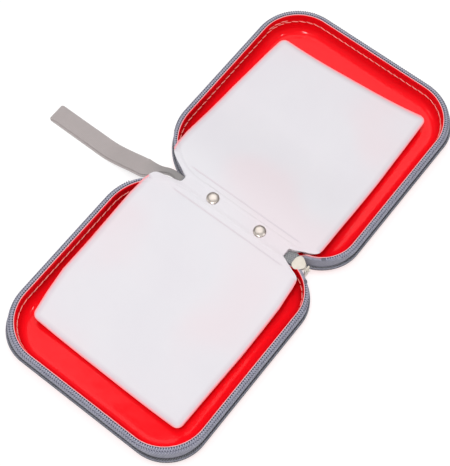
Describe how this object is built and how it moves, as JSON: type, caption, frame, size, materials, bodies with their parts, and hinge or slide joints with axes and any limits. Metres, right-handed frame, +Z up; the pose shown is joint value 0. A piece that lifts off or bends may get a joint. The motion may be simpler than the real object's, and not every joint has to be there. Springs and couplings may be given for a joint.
{
  "type": "cd storage case",
  "caption": "Zipped disc wallet lying open: two red moulded trays joined by a cloth hinge, disc sleeves riveted at the spine, zip with slider, and a wrist strap.",
  "frame": {"origin": "on the table, under the middle of the left half's base", "axes": "+Z up; the spine runs along Y with the wrist strap at its +Y end; the right half opens towards +X"},
  "size_m": [0.3344, 0.2378, 0.0218],
  "materials": {
    "outer_shell": "glossy moulded",
    "inner_tray": "glossy moulded",
    "sleeve_film": "milky film",
    "zip_tape": "woven",
    "zip_coil": "nylon",
    "piping": "ribbed",
    "hinge_cloth": "woven",
    "strap_ribbon": "satin ribbon",
    "nickel": "polished nickel"
  },
  "bodies": {
    "left_shell": {"left_cover": "outer_shell", "left_tray": "inner_tray", "left_piping": "piping", "left_zip_tape": "zip_tape", "left_zip_coil": "zip_coil", "left_lower_stop": "nickel", "left_upper_stop": "nickel", "left_pages": "sleeve_film", "zip_slider": "nickel"},
    "right_shell": {"right_cover": "outer_shell", "right_tray": "inner_tray", "right_piping": "piping", "right_zip_tape": "zip_tape", "right_zip_coil": "zip_coil", "right_lower_stop": "nickel", "right_upper_stop": "nickel", "right_pages": "sleeve_film"},
    "spine": {"hinge_cloth": "hinge_cloth", "binding_margin": "sleeve_film", "upper_rivet": "nickel", "upper_rivet_washer": "nickel", "lower_rivet": "nickel", "lower_rivet_washer": "nickel", "wrist_strap": "strap_ribbon"},
    "pull": {"pull_tab": "nickel"}
  },
  "joints": [
    {"name": "spine_fold", "type": "hinge", "parent": "left_shell", "child": "spine", "pos_m": [0.0792, 0, 0.01765], "axis": [0, -1, 0], "range_deg": [0, 90]},
    {"name": "lid_fold", "type": "hinge", "parent": "spine", "child": "right_shell", "pos_m": [0.0862, 0, 0.01765], "axis": [0, -1, 0], "range_deg": [0, 90]},
    {"name": "pull_swing", "type": "hinge", "parent": "left_shell", "child": "pull", "pos_m": [0.0827, -0.06, 0.0139], "axis": [-1, 0, 0], "range_deg": [0, 100]}
  ],
  "couplings": [
    {"joint": "lid_fold", "follows": "spine_fold", "ratio": 1}
  ]
}
